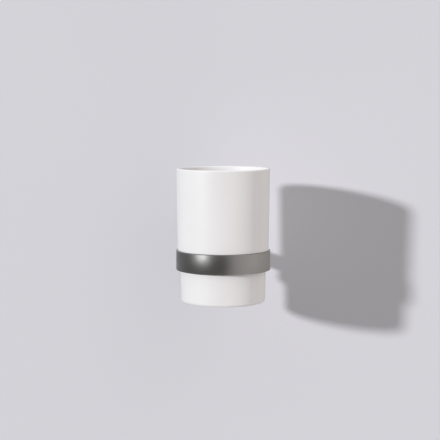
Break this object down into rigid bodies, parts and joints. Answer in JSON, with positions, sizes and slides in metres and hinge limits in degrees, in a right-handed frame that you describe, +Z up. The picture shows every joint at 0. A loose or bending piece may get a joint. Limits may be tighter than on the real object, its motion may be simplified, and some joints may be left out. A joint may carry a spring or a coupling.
{
  "type": "wall-mounted tumbler holder",
  "caption": "Wall-mounted tumbler holder: a white shouldered tumbler hangs in a flat dark metal ring, which a round post carries from a round wall rosette.",
  "frame": {"origin": "centre of the mounting base's back face, on the wall", "axes": "+Z up, +Y into the wall, +X to the right of someone who faces the wall"},
  "size_m": [0.07, 0.1521, 0.099],
  "materials": {
    "white_ceramic": "satin",
    "gunmetal": "satin",
    "steel": "satin",
    "base_metal": "satin",
    "insert_plastic": "matte",
    "plug_plastic": "matte"
  },
  "bodies": {
    "holder": {"ring": "gunmetal", "ring_insert": "insert_plastic", "ring_screw": "steel", "post": "gunmetal", "rosette": "gunmetal", "post_screw": "steel", "post_washer": "steel", "mounting_base": "base_metal", "grub_screw": "steel", "wall_screw_left": "steel", "wall_screw_right": "steel", "wall_washer_left": "steel", "wall_washer_right": "steel", "wall_plug_left": "plug_plastic", "wall_plug_right": "plug_plastic"},
    "tumbler": {"tumbler": "white_ceramic"}
  },
  "joints": [
    {"name": "tumbler_lift", "type": "slide", "parent": "holder", "child": "tumbler", "axis": [0, 0, 1], "range_m": [0, 0.05]}
  ]
}
